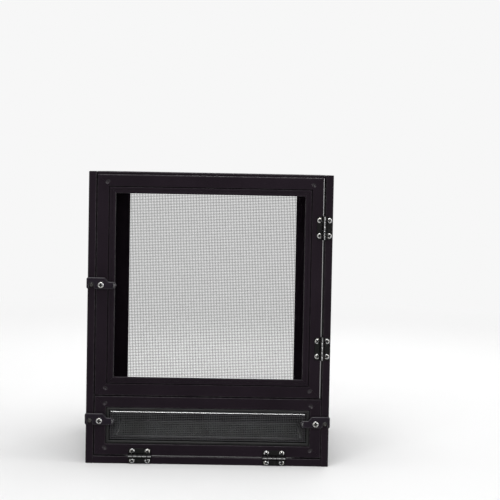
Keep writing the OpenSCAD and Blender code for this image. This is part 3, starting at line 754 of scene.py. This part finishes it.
def screw_head(size, spin):
    """A domed head on z = 0. Rings run from the floor of a cross recess up its wall, over a dome that
    falls as the square of the radius, and down the rim. The recess's outline at an angle is the nearer of
    an arm's end and side."""
    width, high, rim = size
    radius = width / 2
    turn = np.arange(HEAD_SPOTS) * 2 * math.pi / HEAD_SPOTS
    folded = (turn + math.pi / 4) % (math.pi / 2) - math.pi / 4
    arm = radius * RECESS_ARM
    side = arm * RECESS_SLOPE
    cross = np.minimum(arm / np.cos(folded), side / np.maximum(np.abs(np.sin(folded)), 1e-6))
    floor = high - min(RECESS_OF_HIGH * high, RECESS_OF_RADIUS * radius)
    dome_share = np.array(DOME_SHARES)[:, None]
    dome_r = cross * (1 - dome_share) + radius * dome_share
    dome_z = rim + (high - rim) * (1 - (dome_r / radius) ** 2)
    sunk_r = np.array(RECESS_SHARES)[:, None] * cross
    sunk_z = np.stack([np.full(HEAD_SPOTS, floor - RECESS_TIP * radius), np.full(HEAD_SPOTS, floor),
                       dome_z[0] - RECESS_RIM * radius])
    foot_r = np.array([1.0, FOOT_DRAW])[:, None] * np.full(HEAD_SPOTS, radius)
    foot_z = np.array([0.0, -FOOT_SUNK])[:, None] * np.full(HEAD_SPOTS, radius)
    r = np.concatenate([sunk_r, dome_r, foot_r])
    z = np.concatenate([sunk_z, dome_z, foot_z])
    return np.stack([r * np.cos(turn + spin), r * np.sin(turn + spin), z], -1)


def screws(name, slot, body, size, places):
    """Screw heads at places (origin, across, up, out), each with its recess turned by chance."""
    spins = chance.uniform(0, math.pi / 2, len(places))
    heads = [shell(stand(screw_head(size, spin), *place)[None]) for spin, place in zip(spins, places)]
    solid = join(heads)
    in_head = np.arange(len(solid[0])) % (len(solid[0]) // len(places))
    # Recess points, which the bright zinc finish darkens with painted shade
    recess = (in_head < len(RECESS_SHARES) * HEAD_SPOTS) * 1.0
    piece(f"{name}.heads", solid, slot, body, [name], edge=recess)


def knuckle_section():
    """Outline of a knuckle across its pin: a barrel with a tab behind it that runs to the leaf."""
    front = LEAF_T - PIN_OUT
    meet = math.asin(front / KNUCKLE_R)
    turn = np.linspace(meet, 1.5 * math.pi, 26)
    barrel = KNUCKLE_R * np.column_stack([np.cos(turn), np.sin(turn)])
    return np.concatenate([barrel, [[KNUCKLE_GAP, -PIN_OUT], [PIN_OUT, -PIN_OUT], [PIN_OUT, front]]])


def hinge_leaf(pin, across, along, first):
    """A leaf with rounded corners and eased edges, and every other knuckle, drawn in a little at its ends."""
    out = -Y
    outline, _ = rounded([(PIN_OUT, -HINGE_LEN / 2, EASE), (LEAF_REACH, -HINGE_LEN / 2, LEAF_ROUND),
                          (LEAF_REACH, HINGE_LEN / 2, LEAF_ROUND), (PIN_OUT, HINGE_LEN / 2, EASE)])
    rings = plate(outline, -PIN_OUT, LEAF_T - PIN_OUT, LEAF_BEVEL)
    shells = [shell(stand(rings, pin, across, along, out)[None])]
    section = knuckle_section()
    length = (HINGE_LEN - (KNUCKLES - 1) * KNUCKLE_GAP) / KNUCKLES
    height = np.array([0, KNUCKLE_EASE, length - KNUCKLE_EASE, length])
    size = np.array([KNUCKLE_DRAW, 1.0, 1.0, KNUCKLE_DRAW])
    for number in range(first, KNUCKLES, 2):
        low = number * (length + KNUCKLE_GAP) - HINGE_LEN / 2
        flat = size[:, None, None] * section
        level = np.broadcast_to((low + height)[:, None], flat.shape[:2])
        barrel = np.stack([flat[..., 0], level, flat[..., 1]], -1)
        shells.append(shell(stand(barrel, pin, across, along, out)[None]))
    return join(shells)


def hinge_piece(node, body, leaves):
    """Leaves as one piece. Points that stand more than CREST in front of the pin are marked as rubbed."""
    solid = join(leaves)
    rubbed = (solid[0][:, 1] < front_y - PIN_OUT - CREST) * 1.0
    piece(f"{node}.steel", solid, "black_hinge", body, [node], edge=rubbed)


def hinge_pin(pin, across, along):
    """A pin with a low domed head at both ends: circles of changing radius along the pin."""
    dome_r, dome_h = np.array(PIN_DOME).T
    radius = np.append(PIN_HEAD_R * dome_r, PIN_R)
    level = HINGE_LEN / 2 + np.append(PIN_HEAD_H * dome_h, 0)
    radius = np.concatenate([radius, radius[::-1]])[:, None]
    level = np.concatenate([level, -level[::-1]])[:, None]
    turn = np.arange(PIN_SPOTS) * 2 * math.pi / PIN_SPOTS
    rings = np.stack([radius * np.cos(turn), level + 0 * turn, radius * np.sin(turn)], -1)
    return shell(stand(rings, pin, across, along, -Y)[None])


def leaf_screws(pin, across, along):
    """Places of the two screws in a leaf."""
    seat = pin + across * LEAF_SCREW_OUT + Y * (PIN_OUT - LEAF_T)
    return [(seat + along * end * LEAF_SCREW_PITCH / 2, across, along, -Y) for end in (-1, 1)]


def arc(middle, radius, start, end, steps):
    """Points of a circle about a middle, evenly from a start angle to an end angle in degrees."""
    turn = np.radians(np.linspace(start, end, steps + 1))
    return np.array(middle) + radius * np.column_stack([np.cos(turn), np.sin(turn)])


def latch_outline():
    """Outline of a latch round its pivot: thumb tab, sloped shoulder, hook, and the slot that is an arc
    about the pivot and ends in a half round where the keeper stud rests."""
    thumb_x = THUMB_REACH - THUMB_H / 2
    thumb_top = THUMB_H - HOOK_BOTTOM
    far = KEEPER_REACH + SLOT_R
    near = KEEPER_REACH - SLOT_R
    leave = 180 + math.degrees(math.asin(HOOK_BOTTOM / far))
    enter = 180 + math.degrees(math.asin(HOOK_BOTTOM / near))
    corner_x = HOOK_ROUND - HOOK_REACH
    shoulder_foot = SHOULDER_START + SHOULDER_LEN + SHOULDER_FOOT
    return np.concatenate([
        arc((thumb_x, thumb_top - THUMB_H / 2), THUMB_H / 2, -90, 90, 16),
        arc((shoulder_foot, thumb_top + SHOULDER_ROUND), SHOULDER_ROUND, 270, 220, 4),
        arc((SHOULDER_START - SHOULDER_BACK, HOOK_TOP - SHOULDER_ROUND), SHOULDER_ROUND, 40, 90, 4),
        arc((corner_x, HOOK_TOP - HOOK_ROUND), HOOK_ROUND, 90, 180, 6),
        arc((corner_x, HOOK_ROUND - HOOK_BOTTOM), HOOK_ROUND, 180, 268, 6),
        arc((0, 0), far, leave - 2, 181, 5),
        arc((-KEEPER_REACH, 0), SLOT_R, 180, 0, 12),
        arc((0, 0), near, 182, enter - 2, 6),
        [[-near * math.cos(math.radians(enter - 180)) + MOUTH_LEAD, -HOOK_BOTTOM]],
    ])


def latch(node, body, pivot, across):
    """A latch with a quarter-round edge, and a low crescent ridge for the thumb: an arc whose thickness
    falls to both ends like a circle's height."""
    outline = latch_outline()
    rings = plate(outline, 0, LATCH_T, LATCH_BEVEL)
    middle = np.array([THUMB_REACH - THUMB_H / 2, THUMB_H / 2 - HOOK_BOTTOM])
    bow = arc(middle, RIDGE_AT * THUMB_H / 2, -RIDGE_TURN, RIDGE_TURN, RIDGE_STEPS)
    facing = unit(bow - middle)
    share = np.linspace(-1, 1, len(bow))
    thick = RIDGE_R * np.sqrt(RIDGE_BLUNT - share ** 2)
    turn = np.arange(RIDGE_SPOTS) * 2 * math.pi / RIDGE_SPOTS
    flat = bow[:, None] + facing[:, None] * (thick[:, None] * np.cos(turn))[..., None]
    rise = LATCH_T + thick[:, None] * np.sin(turn)
    ridge = np.concatenate([flat, rise[..., None]], -1)
    solid = join([shell(stand(part, pivot, across, Z, -Y)[None]) for part in (rings, ridge)])
    flat_end = rings[..., 0].size
    edge = np.ones(len(solid[0]))
    edge[:len(outline)] = 0
    edge[flat_end - len(outline):flat_end] = 0
    # 2 on the thumb ridge, which the finish paints paler as a highlight
    edge[flat_end:] = 2
    piece(f"{node}.lever", solid, "latch_plastic", body, [node], edge=edge)


for panel in PANELS.values():
    rails(panel)
for name in SCREENED:
    screen(PANELS[name])
splines = [surround(PANELS[name], spline_section(), SPLINE_STATIONS, SPLINE_WAVE) for name in SCREENED]
piece("screen_splines.vinyl", join(splines[:-1]), "black_vinyl", "cage", ["screen_splines"])
piece("flap_spline.vinyl", splines[-1], "black_vinyl", "lower_door", ["flap_spline"])

pane_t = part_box("door_pane")[1].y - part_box("door_pane")[0].y
floor_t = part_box("floor_sheet")[1].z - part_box("floor_sheet")[0].z
sheet("door_pane", "clear_acrylic", PANELS["door"], pane_t)
sheet("floor_sheet", "floor_plastic", PANELS["bottom"], floor_t)
piece("door_glazing_bead.vinyl", surround(PANELS["door"], bead_section(FLANGE_T + pane_t)), "clear_vinyl",
      "front_door", ["door_glazing_bead"])
piece("floor_bead.vinyl", surround(PANELS["bottom"], bead_section(FLANGE_T + floor_t)), "black_vinyl",
      "cage", ["floor_bead"])

# Hinges: the door's pins stand upright, and the lower door's lie level
front_y = PANELS["door"].corner[1]
pins = {}
for name in ("upper", "lower"):
    low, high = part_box(f"{name}_hinge_post_leaf")
    pins[name] = np.array([low.x + KNUCKLE_R, front_y - PIN_OUT, (low.z + high.z) / 2])
    hinge_piece(f"{name}_hinge_post_leaf", "cage", [hinge_leaf(pins[name], X, Z, 0)])
    hinge_piece(f"{name}_hinge_door_leaf", "front_door", [hinge_leaf(pins[name], -X, Z, 1)])
low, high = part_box("flap_hinge_base_leaves")
flap_pin_x = high.x - HINGE_LEN / 2
flap_pins = [np.array([end * flap_pin_x, front_y - PIN_OUT, high.z - KNUCKLE_R]) for end in (-1, 1)]
hinge_piece("flap_hinge_base_leaves", "cage", [hinge_leaf(pin, -Z, X, 0) for pin in flap_pins])
hinge_piece("flap_hinge_door_leaves", "lower_door", [hinge_leaf(pin, Z, X, 1) for pin in flap_pins])
all_pins = [hinge_pin(pin, X, Z) for pin in pins.values()] + [hinge_pin(pin, -Z, X) for pin in flap_pins]
piece("hinge_pins.steel", join(all_pins), "black_hinge", "cage", ["hinge_pins"])

post_places = [place for pin in pins.values() for place in leaf_screws(pin, X, Z)]
base_places = [place for pin in flap_pins for place in leaf_screws(pin, -Z, X)]
door_places = [place for pin in pins.values() for place in leaf_screws(pin, -X, Z)]
flap_places = [place for pin in flap_pins for place in leaf_screws(pin, Z, X)]
screws("frame_hinge_screws", "bright_screw", "cage", HINGE_HEAD, post_places + base_places)
screws("door_hinge_screws", "bright_screw", "front_door", HINGE_HEAD, door_places)
screws("flap_hinge_screws", "bright_screw", "lower_door", HINGE_HEAD, flap_places)

# Screws on the inside of the door's corners, and flush screws through the side panels
door = PANELS["door"]
spots = [(CORNER_SCREW_LONG, CORNER_SCREW_EDGE), (CORNER_SCREW_EDGE, CORNER_SCREW_LONG)]
corner_spots = [(x if near_x else door.w - x, y if near_y else door.h - y)
                for x, y in spots for near_x in (True, False) for near_y in (True, False)]
screws("door_corner_screws", "bright_screw", "front_door", CORNER_HEAD,
       [(door.at(x, y, RAIL_T), X, Z, Y) for x, y in corner_spots])
left = PANELS["left"]
back_rail = left.w - RAIL_T / 2
top_rail = left.h - RAIL_T / 2
rear_site = left.w - RAIL_T - PANEL_SCREW_INSET
sites = np.array([
    (back_rail, PANEL_SCREW_INSET), (back_rail, left.h - PANEL_SCREW_INSET),
    (TOP_PANEL_SETBACK + PANEL_SCREW_INSET, top_rail), (rear_site, top_rail),
    (PANEL_SCREW_INSET, RAIL_T / 2), (rear_site, RAIL_T / 2),
])
left_sites = [(spot, Y, Z, -X) for spot in left.at(*sites.T, 0.0)]
right_sites = [(spot * [-1, 1, 1], -Y, Z, X) for spot, *_ in left_sites]
screws("panel_screws", "black_screw", "cage", PANEL_HEAD, left_sites + right_sites)

# Latches on their pivot screws, and the studs that they hook over
door_z, flap_z = (sum(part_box(node)[k].z for k in (0, 1)) / 2
                  for node in ("door_latch_screw", "flap_latch_screws"))
pivot_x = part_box("flap_latch_screws")[1].x - PIVOT_HEAD[0] / 2
seat_y = front_y - 2 * LATCH_GAP - LATCH_T
latch("door_latch", "door_latch_lever", (-pivot_x, front_y - LATCH_GAP, door_z), X)
latch("left_flap_latch", "left_lower_latch", (-pivot_x, front_y - LATCH_GAP, flap_z), X)
latch("right_flap_latch", "right_lower_latch", (pivot_x, front_y - LATCH_GAP, flap_z), -X)
screws("door_latch_screw", "bright_screw", "front_door", PIVOT_HEAD,
       [((-pivot_x, seat_y, door_z), X, Z, -Y)])
screws("flap_latch_screws", "bright_screw", "lower_door", PIVOT_HEAD,
       [((end * pivot_x, seat_y, flap_z), X, Z, -Y) for end in (-1, 1)])
keeper_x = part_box("latch_keepers")[1].x - KEEPER_HEAD[0] / 2
keeper_sites = ((-keeper_x, door_z), (-keeper_x, flap_z), (keeper_x, flap_z))
screws("latch_keepers", "black_screw", "cage", KEEPER_HEAD,
       [((x, front_y, z), X, Z, -Y) for x, z in keeper_sites])

# Corner keys stay as their CAD solids, inside the rails
for name in ("frame_corner_keys", "door_corner_keys", "flap_corner_keys"):
    mesh = frame["nodes"][name].data
    mesh.materials.clear()
    mesh.materials.append(FINISHES["key_nylon"])


def background_rays(tree):
    """1 for a ray from the camera, from gloss or through a clear piece, and 0 for one that gives light."""
    seen, shone, through = (Sock(tree).node("LightPath", out=f"Is {kind} Ray")
                            for kind in ("Camera", "Glossy", "Transmission"))
    return (seen + shone + through).between(0.0, 1.0)


def studio():
    """A pale floor that curves up into a backdrop: a flat run, a quarter round of radius BEND_R and a
    wall. Away from the cage the paper fades to white, for background rays alone."""
    turn = np.linspace(0, math.pi / 2, 17)
    run = np.concatenate([[FLOOR_FRONT], BEND_AT + BEND_R * np.sin(turn), [BEND_AT + BEND_R]])
    rise = np.concatenate([[0.0], BEND_R * (1 - np.cos(turn)), [WALL_TOP]])
    points = np.array([np.column_stack([np.full_like(run, x), run, rise]) for x in (-FLOOR_SIDE, FLOOR_SIDE)])
    index = np.arange(points[..., 0].size).reshape(points.shape[:2])
    quads = np.stack([index[0, :-1], index[1, :-1], index[1, 1:], index[0, 1:]], -1)
    mesh = bpy.data.meshes.new("studio_floor")
    mesh.from_pydata(points.reshape(-1, 3).tolist(), [], quads.tolist())
    mesh.shade_smooth()
    finish = Finish("studio_paper", {"Specular IOR Level": 0.1})
    cloud = finish.place.noise(1.2, 2.0)
    paper = finish.vary({"Base Color": cloud.tint(grey(0.80), grey(0.83)),
                         "Roughness": cloud.between(0.0, 1.0, 0.9, 0.95)})
    away = finish.place.node("VectorMath", {"operation": "LENGTH"}, {0: finish.place}, out="Value")
    white = finish.place.node("Emission", {}, {"Strength": WHITE})
    shaded = Sock(finish.tree, finish.shader.outputs[0])
    share = away.between(FADE_FROM, FADE_TO) * background_rays(finish.tree)
    surface = finish.place.node("MixShader", {}, {0: share, 1: shaded, 2: white})
    finish.tree.links.new(surface.socket, finish.tree.nodes["Material Output"].inputs["Surface"])
    mesh.materials.append(paper)
    backdrop = bpy.data.objects.new("studio_floor", mesh)
    bpy.context.scene.collection.objects.link(backdrop)


def softbox(name, place, aim, size, watts):
    """A rectangular area lamp at a place, turned so that its -Z looks at aim."""
    data = bpy.data.lights.new(name, "AREA")
    data.shape = "RECTANGLE"
    data.size, data.size_y = size
    data.energy = watts
    lamp = bpy.data.objects.new(name, data)
    back = unit(np.array(place) - np.array(aim))
    right = unit(np.cross(Z, back))
    turn = np.column_stack([right, np.cross(back, right), back])
    lamp.matrix_world = Matrix.Translation(place) @ Matrix(turn.tolist()).to_4x4()
    bpy.context.scene.collection.objects.link(lamp)


def world():
    """Even dim light all round, and white for background rays."""
    made = bpy.data.worlds.new("studio_air")
    made.use_nodes = True
    tree = made.node_tree
    strength = background_rays(tree).between(0.0, 1.0, AIR, WHITE)
    tree.links.new(strength.socket, tree.nodes["Background"].inputs["Strength"])
    tree.nodes["Background"].inputs["Color"].default_value = (1.0, 1.0, 1.0, 1.0)
    bpy.context.scene.world = made


def camera():
    """The photograph's view: a long lens a little above the cage's top, turned, dipped and rolled
    slightly."""
    place = (0.018, -1.743, 0.308)
    yaw, pitch, roll = np.radians([0.82, -2.9, -1.07])
    focal_px, frame_px, sensor_mm = 1559.0, 500.0, 36.0
    ahead = np.array([math.sin(yaw) * math.cos(pitch), math.cos(yaw) * math.cos(pitch), math.sin(pitch)])
    level = np.array([math.cos(yaw), -math.sin(yaw), 0.0])
    down = np.cross(ahead, level)
    right = level * math.cos(roll) + down * math.sin(roll)
    up = level * math.sin(roll) - down * math.cos(roll)
    data = bpy.data.cameras.new("camera")
    data.sensor_width = sensor_mm
    data.lens = focal_px / frame_px * sensor_mm
    made = bpy.data.objects.new("camera", data)
    turn = np.column_stack([right, up, -ahead])
    made.matrix_world = Matrix.Translation(place) @ Matrix(turn.tolist()).to_4x4()
    bpy.context.scene.collection.objects.link(made)
    bpy.context.scene.camera = made


studio()
softbox("key", (-0.35, -1.75, 1.3), (0, 0, 0.15), (1.3, 0.8), 22)
softbox("overhead", (0.1, -0.2, 1.7), (0, 0, 0.15), (1.4, 1.0), 14)
softbox("side", (1.7, -0.7, 0.7), (0, 0, 0.15), (0.7, 1.1), 3.5)
softbox("strip", (1.0, -1.75, 0.4), (0.1, -0.13, 0.2), (0.09, 0.62), 5)
softbox("rim", (0.25, 1.1, 1.15), (0, 0, 0.3), (0.7, 0.2), 4)
softbox("backdrop", (0.0, 0.9, 1.5), (0, 2.2, 0.3), (2.0, 0.5), 15)
world()
camera()
bpy.context.scene.view_settings.view_transform = "Standard"
